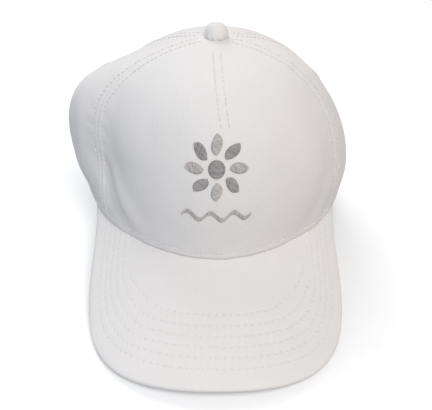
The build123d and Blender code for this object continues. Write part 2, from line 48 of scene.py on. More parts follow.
ARCH_RADIUS = (ARCH_HALF ** 2 + ARCH_DROP ** 2) / (2 * ARCH_DROP)
BINDING_REACH = 7.0
BINDING_ROW = 4.4

CLOTH = 0.8
BUTTON_CLOTH = 0.6
OVER_CLOTH = 1.05
OVER_BUCKRAM = 2.1
STITCH_ASIDE = 3.0
STITCH_PITCH = 3.0
BASE_ROW = 4.6
EDGE_RADIUS = 86
BACK_RADIUS = 105
DART_ASIDE = 2.2
VISOR_PITCH = 3.9
VISOR_ROWS = (11.7, 17.8, 23.7, 29.6, 35.8, 42.3)
VISOR_ROW_SIDE_SHARE = 0.60
VISOR_ROW_TURN = (radians(14), radians(44))
VISOR_THICKNESS = 3.2
RIM_REACH = 0.5
HOLE_DEPTH = 0.66
HOLE_RADIUS = 0.54
SHARP_ANGLE = radians(60)
DENT_TURN = radians(-50)
DENT_TOP_RISE = radians(28)
DENT_FILL = 2.6

# Seams on the two sides of each panel, its width, and where seams and darts lie across it
PANELS = {
    "front_panel": ("front_left", "front_right", 160, (0, 80, 160)),
    "side_panel_right": ("front_right", "side_right", 95, (0, 95)),
    "side_panel_left": ("side_left", "front_left", 95, (0, 95)),
    "back_panel_right": ("side_right", "back", 110, (0, 110)),
    "back_panel_left": ("back", "side_left", 110, (0, 110)),
}

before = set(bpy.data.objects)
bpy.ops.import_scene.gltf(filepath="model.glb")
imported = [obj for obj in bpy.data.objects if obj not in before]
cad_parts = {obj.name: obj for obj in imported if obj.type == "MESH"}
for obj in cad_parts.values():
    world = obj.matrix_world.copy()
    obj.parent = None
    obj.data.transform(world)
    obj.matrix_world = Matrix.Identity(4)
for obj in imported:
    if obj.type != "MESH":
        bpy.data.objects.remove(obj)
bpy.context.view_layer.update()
scene = bpy.context.scene


# ---- reading the frame

def node_corners(name):
    """Lowest and highest corners of a CAD node, in millimetres."""
    return [np.array(corner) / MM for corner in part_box(name)]


def node_tree(names):
    """Search tree over some CAD nodes, in millimetres."""
    points, faces = [], []
    for name in names:
        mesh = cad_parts[name].data
        faces += [[len(points) + i for i in face.vertices] for face in mesh.polygons]
        points += [v.co / MM for v in mesh.vertices]
    return BVHTree.FromPolygons(points, faces)


def placed(name, data):
    """A new object in the scene."""
    thing = bpy.data.objects.new(name, data)
    scene.collection.objects.link(thing)
    return thing


def stacked(*parts):
    return np.stack(np.broadcast_arrays(*parts), -1)


def direction(bearing, rise):
    flat = np.cos(rise)
    return stacked(flat * np.sin(bearing), -flat * np.cos(bearing), np.sin(rise))


def skin_distance(tree, bearing, rise):
    """Distance from the centre point to the outside of a node, or NaN where there's none."""
    ray = Vector(direction(bearing, rise))
    hit = tree.ray_cast(Vector(CENTRE) + ray * RAY_START, -ray, RAY_START - NEAREST_SKIN)
    return np.nan if hit[0] is None else RAY_START - hit[3]


def ease(low, high, value):
    share = np.clip((value - low) / (high - low), 0, 1)
    return share * share * (3 - 2 * share)


def bump(value, width):
    return np.exp(-(value / width) ** 2)


def unit(vectors):
    return vectors / np.linalg.norm(vectors, axis=-1, keepdims=True)


def eased(values):
    """Each inner value averaged with its two neighbours."""
    return (values[:-2] + 2 * values[1:-1] + values[2:]) / 4


def ring_eased(values):
    return (np.roll(values, 1, 0) + 2 * values + np.roll(values, -1, 0)) / 4


def boundary(hit, inside, outside, rounds):
    """Last place that hits, on the way from one that does to one that doesn't."""
    for _ in range(rounds):
        middle = (inside + outside) / 2
        if hit(middle):
            inside = middle
        else:
            outside = middle
    return inside


def bridged(row, longest):
    """Fills short gaps in a ring of values."""
    known = np.flatnonzero(~np.isnan(row))
    if len(known) < 2:
        return row
    count = len(row)
    places = np.concatenate([known - count, known, known + count])
    filled = row.copy()
    for i in np.flatnonzero(np.isnan(row)):
        after = np.searchsorted(places, i)
        before, later = places[after - 1], places[after]
        if later - before <= longest + 1:
            share = (i - before) / (later - before)
            filled[i] = row[before % count] * (1 - share) + row[later % count] * share
    return filled


def line_lengths(points):
    return np.concatenate([[0], np.cumsum(np.linalg.norm(np.diff(points, axis=0), axis=1))])


class Crown:
    """The crown's outer surface as a smooth distance from the centre point."""

    def __init__(self):
        self.tree = node_tree(PANELS)
        self.bearings = np.arange(-pi, pi - 1e-9, MAP_STEP)
        self.rises = np.arange(MAP_LOW, pi / 2 + 1e-9, MAP_STEP)
        found = np.array([[skin_distance(self.tree, b, r) for r in self.rises]
                          for b in self.bearings])
        found = np.stack([bridged(found[:, j], 6) for j in range(found.shape[1])], 1)
        self.edge = self.lower_edge(found)
        distance = self.filled(found)
        for _ in range(5):
            distance = ring_eased(distance)
            distance[:, 1:-1] = eased(distance.T).T
        self.distance = distance + self.dent_fill()

    def dent_fill(self):
        """Keeps the soft dent by the left front seam to the lower half of the panel."""
        around = bump(self.bearings - DENT_TURN, radians(15))[:, None]
        return DENT_FILL * around * bump(self.rises - DENT_TOP_RISE, radians(10))

    def lower_edge(self, found):
        """Rise of the crown's lower edge at each bearing, carried on across the back opening."""
        edge = np.full(len(self.bearings), np.nan)
        for i, bearing in enumerate(self.bearings):
            first = self.rises[np.flatnonzero(~np.isnan(found[i]))[0]]

            def hit(rise):
                return not np.isnan(skin_distance(self.tree, bearing, rise))

            if hit(first):
                edge[i] = boundary(hit, first, first - MAP_STEP, 8)
        behind = np.abs(self.bearings) > radians(140)
        edge[behind & ~(edge < radians(-22))] = np.nan
        edge = bridged(edge, len(edge))
        for _ in range(4):
            edge = ring_eased(edge)
        return edge

    def filled(self, found):
        """Carries the surface across the back opening, down below its edge and over its top."""
        values = found.copy()
        back = np.abs(self.bearings) > radians(120)
        across = np.where(self.bearings > 0, self.bearings - pi, self.bearings + pi)
        for j, rise in enumerate(self.rises):
            missing = np.isnan(values[:, j]) & back & (rise > radians(-22.3))
            known = ~np.isnan(values[:, j]) & back
            if missing.sum() > 4 and known.sum() > 12:
                curve = np.polyfit(across[known], values[known, j], 4)
                values[missing, j] = np.polyval(curve, across[missing])
        for row in values:
            known = np.flatnonzero(~np.isnan(row))
            first, last = known[0], known[-1]
            row[first:] = np.interp(self.rises[first:], self.rises[known], row[known])
            row[:first] = row[first] * cos(self.rises[first]) / np.cos(self.rises[:first])
            row[last:] = row[last] * sin(self.rises[last]) / np.sin(self.rises[last:])
        return values

    def sample(self, bearing, rise):
        column = (np.asarray(bearing) - self.bearings[0]) / MAP_STEP
        row = np.clip((np.asarray(rise) - MAP_LOW) / MAP_STEP, 0, len(self.rises) - 1.001)
        i = np.floor(column).astype(int)
        j = np.floor(row).astype(int)
        s = column - i
        t = row - j
        count = len(self.bearings)
        i, k = i % count, (i + 1) % count
        low = self.distance[i, j] * (1 - s) + self.distance[k, j] * s
        high = self.distance[i, j + 1] * (1 - s) + self.distance[k, j + 1] * s
        return low * (1 - t) + high * t

    def girth(self, bearing, rise):
        """Distance from the button's axis."""
        return self.sample(bearing, rise) * np.cos(rise)

    def point(self, bearing, rise):
        bearing, rise = np.broadcast_arrays(np.asarray(bearing, float), np.asarray(rise, float))
        return CENTRE + direction(bearing, rise) * self.sample(bearing, rise)[..., None]

    def normal(self, bearing, rise):
        around = self.point(bearing + MAP_STEP, rise) - self.point(bearing - MAP_STEP, rise)
        over = np.minimum(rise + MAP_STEP, pi / 2)
        upward = self.point(bearing, over) - self.point(bearing, rise - MAP_STEP)
        return unit(np.cross(around, upward))

    def lined(self, bearing, rise, depth):
        """Points at a depth inside the surface."""
        depth = np.asarray(depth)[..., None]
        return self.point(bearing, rise) - self.normal(bearing, rise) * depth

    def edge_rise(self, bearing):
        wrapped = (np.asarray(bearing) + pi) % TURN - pi
        return np.interp(wrapped, np.append(self.bearings, pi),
                         np.append(self.edge, self.edge[0]))

    def rise_at_height(self, bearing, height):
        """Rise of the points at some heights above the crown's lower edge."""
        bearing, height = np.broadcast_arrays(bearing, height)
        edge = self.edge_rise(bearing)
        steps = np.linspace(0, radians(45), 60)
        result = np.empty(height.shape)
        for place in np.ndindex(result.shape):
            z = self.point(bearing[place], edge[place] + steps)[..., 2]
            result[place] = edge[place] + np.interp(height[place], z - z[0], steps)
        return result

    def gaps(self, low, high, rises):
        """Bearing of the gap between two panels at each rise, looked for between two bearings."""
        line = []
        for rise in rises:
            missed = [b for b in np.arange(low, high, radians(0.12))
                      if np.isnan(skin_distance(self.tree, b, rise))]
            line.append(np.mean(missed) if missed else np.nan)
        return np.array(line)


class Seam:
    """A seam down the crown: its bearing by rise, and the length along it."""

    def __init__(self, low, high):
        low, high, self.high = radians(low), radians(high), radians(84)
        edge = float(crown.edge_rise((low + high) / 2))
        rises = np.linspace(edge + 0.02, self.high, 36)
        found = crown.gaps(low, high, rises)
        good = ~np.isnan(found)
        self.curve = np.polyfit(rises[good], found[good], 5)
        self.low = rises[0]
        self.rises = np.linspace(edge, TOP_RISE, 400)
        self.lengths = line_lengths(crown.point(self.bearing(self.rises), self.rises))

    def bearing(self, rise):
        return np.polyval(self.curve, np.clip(rise, self.low, self.high))

    def along(self, rise):
        return np.interp(rise, self.rises, self.lengths)

    def away(self, bearing, rise):
        """Signed distance across the cloth from the seam."""
        return (bearing - self.bearing(rise)) * crown.girth(bearing, rise)

    def beside(self, rise, reach):
        """Bearing of the line at a distance across the cloth."""
        middle = self.bearing(rise)
        return middle + reach / crown.girth(middle, rise)


class BackSeam(Seam):
    """The upright seam at the back."""

    def __init__(self):
        self.low = radians(10)

    def bearing(self, rise):
        return np.full_like(rise, pi)

    def along(self, rise):
        return rise * BACK_RADIUS

    def away(self, bearing, rise):
        return (pi - np.abs(bearing)) * crown.girth(bearing, rise)


crown = Crown()
chance = np.random.default_rng(7)
seams = {
    "front_left": Seam(-80, -45),
    "front_right": Seam(45, 80),
    "side_left": Seam(-130, -105),
    "side_right": Seam(105, 130),
    "back": BackSeam(),
}


# ---- meshes

def quads(rows, columns):
    first = (np.arange(rows - 1)[:, None] * columns + np.arange(columns - 1)).ravel()
    return np.stack([first, first + 1, first + columns + 1, first + columns], 1)


def shell(outer, inner, hole=None):
    """Points and faces of a closed sheet between two grids, with its edges walled all round.

    hole says which face middles are cut away.
    """
    rows, columns = outer.shape[:2]
    count = rows * columns
    points = np.concatenate([outer.reshape(-1, 3), inner.reshape(-1, 3)])
    top = quads(rows, columns)
    if hole is not None:
        top = top[~hole(points[top].mean(1))]
    edges = np.concatenate([top[:, [k, (k + 1) % 4]] for k in range(4)])
    shared = np.isin(edges[:, 0] * count + edges[:, 1], edges[:, 1] * count + edges[:, 0])
    first, second = edges[~shared].T
    wall = np.stack([second, first, first + count, second + count], 1)
    return points, np.concatenate([top, top[:, ::-1] + count, wall])


def welded(points, faces):
    """Joins points that coincide and drops the faces that this closes up."""
    _, kept, number = np.unique(points.round(3), axis=0, return_index=True,
                                return_inverse=True)
    faces = [list(dict.fromkeys(face)) for face in number.reshape(-1)[faces].tolist()]
    return points[kept], [face for face in faces if len(face) > 2]


def joined(parts):
    points = np.concatenate([p for p, _ in parts])
    starts = np.cumsum([0] + [len(p) for p, _ in parts[:-1]])
    return points, np.concatenate([f + s for (_, f), s in zip(parts, starts)])


def make_piece(name, geometry, material, replaces=None):
    """A mesh piece from millimetre points and faces. It rides on the cap's fixed body."""
    points, faces = geometry
    if isinstance(faces, np.ndarray):
        used, faces = np.unique(faces, return_inverse=True)
        points, faces = points[used], faces.reshape(-1, 4).tolist()
    mesh = bpy.data.meshes.new(name)
    mesh.from_pydata((points * MM).tolist(), [], faces)
    mesh.shade_smooth()
    mesh.materials.append(material)
    piece = placed(name, mesh)
    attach(piece, "root")
    if replaces:
        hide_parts(replaces)
    return piece


def tubes(centres, ups, radii):
    """Closed six-sided thread tubes. centres and ups are (thread, ring, 3); radii has one per ring."""
    threads, rings = centres.shape[:2]
    along = unit(np.gradient(centres, axis=1))
    side = unit(np.cross(along, ups))
    up = np.cross(side, along)
    turn = np.arange(6) * TURN / 6
    ring = np.cos(turn)[:, None] * side[:, :, None] + np.sin(turn)[:, None] * up[:, :, None]
    points = centres[:, :, None] + np.asarray(radii)[..., :, None, None] * ring
    number = np.arange(rings * 6).reshape(rings, 6)
    after = np.roll(number, -1, 1)
    wall = np.stack([number[:-1], number[1:], after[1:], after[:-1]], -1).reshape(-1, 4)
    caps = [number[0, [0, 1, 2, 3]], number[0, [0, 3, 4, 5]],
            number[-1, [3, 2, 1, 0]], number[-1, [5, 4, 3, 0]]]
    one = np.concatenate([wall, np.array(caps)])
    starts = np.arange(threads)[:, None, None] * rings * 6
    return points.reshape(-1, 3), (one + starts).reshape(-1, 4)


def at_lengths(line, lengths, wanted):
    return stacked(*(np.interp(wanted, lengths, line[:, k]) for k in range(3)))


STITCH_SHAPE = np.array([0, 0.07, 0.28, 0.5, 0.72, 0.93, 1.0])
STITCH_BOW = np.array([-1.5, -0.1, 0.85, 1.0, 0.85, -0.1, -1.5])
STITCH_GIRTH = np.array([0.6, 0.95, 1.0, 1.05, 1.0, 0.95, 0.6])


def stitches(line, ups, radius=0.24, bow=0.2, pitch=STITCH_PITCH, share=0.84):
    """A row of stitches along a line; each one bows up between two needle holes."""
    lengths = line_lengths(line)
    count = int(lengths[-1] / pitch)
    starts = (np.arange(count) + (1 - share) / 2) * pitch
    starts += chance.normal(0, 0.03, count)
    wanted = starts[:, None] + STITCH_SHAPE * pitch * share
    up = unit(at_lengths(ups, lengths, wanted))
    centres = at_lengths(line, lengths, wanted) + up * (STITCH_BOW * bow)[:, None]
    sway = np.cross(unit(np.gradient(centres, axis=1)), up)
    centres += sway * chance.normal(0, 0.04, count)[:, None, None]
    return tubes(centres, up, radius * STITCH_GIRTH)


def ripple(points, wavelength, seed):
    """Smooth seeded noise of about unit size."""
    rolls = np.random.default_rng(seed)
    total = np.zeros(points.shape[:-1])
    for _ in range(9):
        wave = unit(rolls.normal(size=3)) * TURN / (wavelength * rolls.uniform(0.7, 1.6))
        total += np.sin(points @ wave + rolls.uniform(0, TURN))
    return total / 3


# ---- materials

class Shader:
    """Short helper for node materials."""

    def __init__(self, name, colour, roughness):
        self.material = bpy.data.materials.new(name)
        self.material.use_nodes = True
        self.tree = self.material.node_tree
        self.shader = self.tree.nodes["Principled BSDF"]
        self.set(Base_Color=(*colour, 1), Roughness=roughness)
        self.place = self.node("ShaderNodeTexCoord").outputs["Object"]

    def feed(self, socket, value):
        """Gives an input a value, or the output that it follows."""
        if isinstance(value, bpy.types.NodeSocket):
            self.tree.links.new(value, socket)
        else:
            socket.default_value = value

    def node(self, kind, **settings):
        node = self.tree.nodes.new(kind)
        for key, value in settings.items():
            if hasattr(node, key):
                setattr(node, key, value)
            else:
                self.feed(node.inputs[key.replace("_", " ")], value)
        return node

    def set(self, **values):
        for key, value in values.items():
            self.feed(self.shader.inputs[key.replace("_", " ")], value)

    def noise(self, scale, detail):
        return self.node("ShaderNodeTexNoise", Vector=self.place, Scale=scale,
                         Detail=detail).outputs["Fac"]

    def waves(self, scale, turn, distortion):
        place = self.node("ShaderNodeMapping", Vector=self.place, Rotation=turn)
        return self.node("ShaderNodeTexWave", Vector=place.outputs["Vector"], Scale=scale,
                         Distortion=distortion, Detail_Scale=2.0).outputs["Fac"]

    def math(self, operation, first, second):
        node = self.node("ShaderNodeMath", operation=operation)
        self.feed(node.inputs[0], first)
        self.feed(node.inputs[1], second)
        return node.outputs[0]

    def blend(self, first, second, share):
        """One pattern by a share plus another by the rest."""
        return self.math("ADD", self.math("MULTIPLY", first, share),
                         self.math("MULTIPLY", second, 1 - share))

    def colour_by(self, factor, dark, light):
        node = self.node("ShaderNodeMix", data_type="RGBA", Factor=factor, A=(*dark, 1),
                         B=(*light, 1))
        self.set(Base_Color=[s for s in node.outputs if s.type == "RGBA"][0])

    def roughness_by(self, factor, low, high):
        node = self.node("ShaderNodeMapRange", Value=factor, To_Min=low, To_Max=high)
        self.set(Roughness=node.outputs["Result"])

    def relief(self, height, depth, strength=1.0):
        """Adds a bump layer; depth is in metres."""
        node = self.node("ShaderNodeBump", Height=height, Strength=strength, Distance=depth)
        below = self.shader.inputs["Normal"]
        if below.is_linked:
            self.feed(node.inputs["Normal"], below.links[0].from_socket)
        self.set(Normal=node.outputs["Normal"])


def tint(colour, share):
    return tuple(c * share for c in colour)


def cloth(name, colour, pitch, depth=0.00005, roughness=0.88, sheen=0.25, plain=False):
    """Woven cloth: twill ribs or a plain weave, slubs, soft mottling and a little fuzz."""
    shader = Shader(name, colour, roughness)
    shader.set(Sheen_Weight=sheen, Sheen_Roughness=0.45, Specular_IOR_Level=0.25)
    scale = 1 / (pitch * 20)
    first = shader.waves(scale, (0.6, 0.35, 0.75), 0.5)
    second = shader.waves(scale, (-0.5, 0.4, -0.8), 0.5)
    weave = shader.math("MULTIPLY", first, second) if plain else shader.blend(first, second, 0.7)
    slubs = shader.noise(900, 2)
    mottle = shader.noise(45, 4)
    shader.relief(weave, depth)
    shader.relief(slubs, depth * 0.8, 0.6)
    shader.relief(mottle, depth * 9, 0.5)
    shader.colour_by(shader.blend(mottle, weave, 0.85), tint(colour, 0.97), tint(colour, 1.03))
    shader.roughness_by(slubs, roughness - 0.06, roughness + 0.06)
    return shader.material


def thread(name, dark, light, roughness=0.38, sheen=0.35, anisotropy=0.4):
    """Twisted thread: fine slanting plies, and each stitch a little different."""
    shader = Shader(name, light, roughness)
    shader.set(Sheen_Weight=sheen, Sheen_Roughness=0.3, Specular_IOR_Level=0.5,
               Anisotropic=anisotropy)
    plies = shader.waves(140, (0.4, 0.9, 0.6), 0.3)
    island = shader.node("ShaderNodeNewGeometry").outputs["Random Per Island"]
    shader.colour_by(shader.blend(plies, island, 0.2), dark, light)
    shader.relief(plies, 0.00006)
    shader.roughness_by(shader.noise(600, 2), roughness - 0.06, roughness + 0.08)
    return shader.material


def moulded(name, colour, roughness):
    """Moulded plastic: fine pebble, slow unevenness and a soft edge to its gloss."""
    shader = Shader(name, colour, roughness)
    shader.set(Subsurface_Weight=0.08, Subsurface_Scale=0.003, Specular_IOR_Level=0.45)
    pebble = shader.noise(1500, 2)
    slow = shader.noise(60, 2)
    shader.relief(pebble, 0.00003)
    shader.relief(slow, 0.0002, 0.4)
    shader.colour_by(slow, tint(colour, 0.96), tint(colour, 1.02))
    shader.roughness_by(pebble, roughness - 0.08, roughness + 0.1)
    return shader.material


def steel(name):
    """Pressed steel with fine drawn lines and dull patches."""
    shader = Shader(name, (0.55, 0.55, 0.56), 0.35)
    shader.set(Metallic=1.0)
    lines = shader.waves(260, (0.1, 0.2, 0.3), 3.0)
    patches = shader.noise(300, 4)
    shader.relief(lines, 0.00002)
    shader.colour_by(patches, (0.42, 0.42, 0.43), (0.62, 0.62, 0.63))
    shader.roughness_by(patches, 0.28, 0.5)
    return shader.material


WHITE = (0.69, 0.668, 0.652)
cap_cloth = cloth("cap_twill", WHITE, 0.00045, 0.00003)
under_cloth = cloth("visor_twill", WHITE, 0.00045)
tape_cloth = cloth("tape_twill", (0.70, 0.69, 0.68), 0.0005, 0.00014)
band_cloth = cloth("brushed_twill", (0.70, 0.69, 0.675), 0.0007, 0.0001, 0.92, 0.4)
mesh_cloth = cloth("buckram_mesh", (0.68, 0.67, 0.64), 0.0013, 0.0004, 0.8, 0.1, True)
label_cloth = cloth("label_satin", (0.78, 0.78, 0.77), 0.00035, 0.00006, 0.55, 0.3)
foam_skin = cloth("felt", (0.74, 0.74, 0.72), 0.0016, 0.0002, 0.95, 0.5, True)
white_thread = thread("white_thread", (0.64, 0.625, 0.62), (0.76, 0.745, 0.735), 0.6, 0.3,
                      0.0)
# Two copies of one silver thread: the lighter carries painted sheen and the darker painted shade, for
# satin that catches the light differently by stitch direction.
painted_sheen_silver = thread("painted_sheen_silver_thread", (0.33, 0.31, 0.295), (0.56, 0.535, 0.51))
painted_shade_silver = thread("painted_shade_silver_thread", (0.20, 0.19, 0.188), (0.40, 0.385, 0.375))
strap_plastic = moulded("strap_plastic", (0.74, 0.74, 0.73), 0.42)
board_plastic = moulded("board_plastic", (0.75, 0.75, 0.72), 0.5)
button_steel = steel("pressed_steel")


# ---- crown panels

DART_END = 106.7
DART_LEAN = 4.5
CROWN_TOP = 131.3
CREASES = (
    # bearing and rise of the middle, half length, half width, depth, turn from upright
    (-50, 4, 24, 7, 1.9, 46),
    (-80, 27, 26, 4, 1.1, 4),
    (-90, 18, 22, 5, 1.2, -8),
    (-101, 30, 25, 6, 1.0, 10),
    (46, 0, 20, 7, 0.7, -30),
    (80, 20, 26, 5, 0.7, -6),
    (96, 25, 24, 6, 0.8, 8),
    (-140, 15, 26, 7, 1.0, 15),
    (138, 20, 26, 7, 0.9, -12),
)


def dart_lean(z):
    """How far aside the dart's line stands at a height."""
    return DART_LEAN * (CROWN_TOP - z) / (CROWN_TOP - DART_END)


def softness(points, bearing, rise):
    """Slow unevenness of the cloth and the creases it has settled into."""
    height = 0.22 * ripple(points, 42, 3) + 0.07 * ripple(points, 17, 4)
    for turn, lift, length, width, depth, slant in CREASES:
        away = (bearing - radians(turn) + pi) % TURN - pi
        radius = crown.sample(bearing, rise)
        across = away * radius * np.cos(rise)
        upward = (rise - radians(lift)) * radius
        s, c = sin(radians(slant)), cos(radians(slant))
        along = upward * c - across * s
        side = across * c + upward * s
        reach = bump(along, length)
        height += reach * depth * (bump(side - 1.2 * width, width) - bump(side, width))
    return height


def row_relief(away, along):
    """The dip along a stitch row, deeper at each needle hole."""
    pull = 0.06 * np.cos(TURN * along / STITCH_PITCH) * bump(away, 0.9)
    return pull - 0.14 * bump(away, 0.7)


def seam_relief(away, along, aside, depth=1.0):
    """Height beside a seam: a welt over the turned-in cloth, the crease and a stitch row."""
    away = np.abs(away)
    welt = 0.4 * bump(away, aside * 0.85) - 0.3 * bump(away, 0.7)
    row = row_relief(away - aside, along)
    gather = 0.13 * np.sin(0.5 * along + 2 * np.sin(0.11 * along)) * bump(away - aside - 3, 3)
    return depth * (welt + row + gather)


def edge_relief(height, along):
    """Height near the crown's lower edge: turned under, with a stitch row above."""
    turned = -0.55 * bump(height, 0.9)
    row = row_relief(height - BASE_ROW, along)
    welt = 0.18 * bump(height - 2.2, 1.6)
    gather = 0.16 * np.sin(0.33 * along + 2 * np.sin(0.09 * along)) * bump(height - 8, 5)
    return turned + row + welt + gather


def outer_height(bearing, rise, names):
    """Height of the outer cloth over the smooth crown, near the named seams."""
    points = crown.point(bearing, rise)
    height = softness(points, bearing, rise)
    fade = 1 - ease(radians(80), radians(87), rise)
    for name in names:
        seam = seams[name]
        height += fade * seam_relief(seam.away(bearing, rise), seam.along(rise), STITCH_ASIDE)
    edge = crown.edge_rise(bearing)
    above = points[..., 2] - crown.point(bearing, edge)[..., 2]
    height += edge_relief(above, bearing * EDGE_RADIUS)
    if "front_left" in names and "front_right" in names:
        away = points[..., 0] - dart_lean(points[..., 2])
        shown = ease(DART_END - 3, DART_END + 2, points[..., 2]) * fade
        height += shown * seam_relief(away, points[..., 2] * 1.3, DART_ASIDE, 0.75)
    return height


def outer_point(bearing, rise, names, lift=0.0):
    return crown.lined(bearing, rise, -lift - outer_height(bearing, rise, names))


def shares(width, seam_places):
    """Shares of a panel's width, closely spaced beside its seams and widely elsewhere."""
    marks = [0.0]
    while marks[-1] < width:
        near = any(abs(marks[-1] - place) < 9 for place in seam_places)
        marks.append(marks[-1] + (0.5 if near else 1.5))
    return np.array(marks) / marks[-1]


def panel_grid(low, high, across, rows):
    """Bearings and rises of a panel's grid, row by row from its lower edge to the button."""
    upward = np.linspace(0, 1, rows)[:, None]
    rise = np.full((rows, len(across)), 0.5)
    for _ in range(5):
        first, last = low(rise), high(rise)
        bearing = first + (last - first) * across
        edge = crown.edge_rise(bearing[0])
        rise = edge + (TOP_RISE - edge) * upward
    return bearing, rise


def in_opening(points):
    """True for places in the back opening, as seen from behind."""
    x, y, z = points[..., 0], points[..., 1], points[..., 2]
    dome = np.hypot(x, z - ARCH_TOP + ARCH_RADIUS) < ARCH_RADIUS
    wall = (np.abs(x) < ARCH_HALF) & (z < ARCH_WALL)
    return (y > 40) & (wall | (dome & (z >= ARCH_WALL)))


EYELETS = (-96, -148, 96, 148)
EYELET_HOLE = 3.1
EYELET_STITCHES = 46


def eyelet_axes():
    """Middle and outward direction of each eyelet, from the CAD rings."""
    points = np.array([v.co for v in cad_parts["eyelet_stitching"].data.vertices]) / MM
    turns = np.degrees(np.arctan2(points[:, 0], -points[:, 1]))
    axes = []
    for turn in EYELETS:
        ring = points[np.abs((turns - turn + 180) % 360 - 180) < 12]
        middle = (ring.min(0) + ring.max(0)) / 2
        spoke = middle - CENTRE
        rise = asin(spoke[2] / np.linalg.norm(spoke))
        bearing = atan2(spoke[0], -spoke[1])
        axes.append((crown.point(bearing, rise), crown.normal(bearing, rise)))
    return axes


eyelets = eyelet_axes()


def in_holes(points):
    inside = in_opening(points)
    for middle, _ in eyelets:
        inside |= np.linalg.norm(points - middle, axis=-1) < EYELET_HOLE
    return inside


def make_panel(name, first, last, width, seam_places):
    """A panel from one seam round to another, with its outer surface for later."""
    def low(rise):
        return seams[first].bearing(rise) - (TURN if first == "back" else 0)

    bearing, rise = panel_grid(low, seams[last].bearing, shares(width, seam_places), 210)
    outer = outer_point(bearing, rise, (first, last))
    geometry = shell(outer, crown.lined(bearing, rise, CLOTH), in_holes)
    make_piece(name + "_cloth", geometry, cap_cloth, name)
    return outer


panel_surfaces = [make_panel(name, *plan) for name, plan in PANELS.items()]


def surface_tree(grids):
    points, faces = joined([(g.reshape(-1, 3), quads(*g.shape[:2])) for g in grids])
    return BVHTree.FromPolygons(points.tolist(), faces.tolist())


skin_tree = surface_tree(panel_surfaces)


def seen_along_y(tree, flat, start):
    """Points and outward directions where lines along Y from a start meet a surface.

    flat holds the x and z of each line.
    """
    ray = Vector((0, -1 if start > 0 else 1, 0))
    points, normals = [], []
    for x, z in flat.reshape(-1, 2):
        place, normal, _, _ = tree.ray_cast(Vector((x, start, z)), ray)
        if place is None:
            place, normal = Vector((x, start, z)), -ray
        points.append(place)
        normals.append(normal if normal.dot(ray) < 0 else -normal)
    shape = flat.shape[:-1] + (3,)
    return np.array(points).reshape(shape), np.array(normals).reshape(shape)


# ---- stitches on the crown

def seam_stitches(name, side):
    """A topstitch row beside a seam."""
    seam = seams[name]
    rise = np.linspace(seam.low + 0.02, radians(83), 500)
    bearing = seam.beside(rise, side * STITCH_ASIDE)
    shown = STITCH_ASIDE / crown.girth(seam.bearing(rise), rise) < 0.35
    bearing, rise = bearing[shown], rise[shown]
    line = outer_point(bearing, rise, (name,), 0.1)
    keep = ~in_opening(line)
    return stitches(line[keep], crown.normal(bearing, rise)[keep])


def base_stitches():
    """The row round the crown that holds the sweatband."""
    limit = radians(156)
    bearing = np.linspace(-limit, limit, 900)
    rise = crown.rise_at_height(bearing, BASE_ROW)
    line = outer_point(bearing, rise, [name for name in seams if name != "back"], 0.1)
    return stitches(line, crown.normal(bearing, rise))


def dart_stitches(side):
    dart_rises = np.linspace(radians(35), radians(87), 400)
    z = np.linspace(DART_END + 0.5, CROWN_TOP - 0.8, 300)
    rise = np.interp(z, crown.point(0, dart_rises)[:, 2], dart_rises)
    lean = dart_lean(z)
    radius = crown.girth(0.0, rise)
    shown = radius > 9
    rise, radius, lean = rise[shown], radius[shown], lean[shown]
    bearing = np.arcsin((lean + side * DART_ASIDE) / radius)
    line = outer_point(bearing, rise, ("front_left", "front_right"), 0.1)
    return stitches(line, crown.normal(bearing, rise))




crown_thread = [seam_stitches(name, side) for name in seams for side in (-1, 1)]
crown_thread += [base_stitches(), dart_stitches(-1), dart_stitches(1)]
make_piece("crown_stitches", joined(crown_thread), white_thread)


# ---- embroidery

BADGE_HEIGHT = 88.0
PETALS = 8
PETAL_INNER = 7.0
PETAL_OUTER = 17.0
PETAL_HALF = 3.2
CENTRE_RADIUS = 4.8
WAVE_HEIGHT = 61.5
WAVE_LENGTH = 38.0
WAVE_SWING = 2.2
WAVE_STROKE = 2.6
WAVES = 3
SATIN_PITCH = 0.33
SATIN_RINGS = 11


def satin(ends, pad):
    """Satin threads laid side by side between pairs of ends, given as (x, z) on the front."""
    share = np.linspace(0, 1, SATIN_RINGS)
    flat = ends[:, :1] + (ends[:, 1:] - ends[:, :1]) * share[:, None]
    points, normals = seen_along_y(skin_tree, flat, -RAY_START)
    length = np.linalg.norm(flat[:, -1] - flat[:, 0], axis=-1)
    dome = np.sqrt(np.clip(1 - (2 * share - 1) ** 4, 0, 1))
    lift = -0.12 + np.minimum(pad, 0.25 + length * 0.22)[:, None] * dome
    lift += chance.normal(0, 0.02, len(ends))[:, None] * dome
    centres = points + normals * lift[..., None]
    girth = 0.2 * np.minimum(1, 0.45 + 4 * np.minimum(share, 1 - share))
    return tubes(centres, normals, girth)


def pairs(x0, z0, x1, z1):
    """Pairs of (x, z) ends."""
    return np.stack([stacked(x0, z0), stacked(x1, z1)], 1)


def petal_threads(turn):
    radius = (PETAL_HALF ** 2 + 25) / (2 * PETAL_HALF)
    places = np.arange(PETAL_INNER + 0.2, PETAL_OUTER - 0.15, SATIN_PITCH)
    middle = (PETAL_INNER + PETAL_OUTER) / 2
    half = np.sqrt(radius ** 2 - (places - middle) ** 2) - radius + PETAL_HALF
    slant = 0.35 * half
    ends = pairs(-half, places - slant, half, places + slant)
    s, c = sin(turn), cos(turn)
    turned = stacked(ends[..., 0] * c + ends[..., 1] * s, ends[..., 1] * c - ends[..., 0] * s)
    return satin(turned + (0, BADGE_HEIGHT), 0.62)


def disc_threads():
    places = np.arange(-CENTRE_RADIUS + 0.15, CENTRE_RADIUS - 0.1, SATIN_PITCH)
    half = np.sqrt(CENTRE_RADIUS ** 2 - places ** 2)
    return satin(pairs(-half, places, half, places) + (0, BADGE_HEIGHT), 0.62)


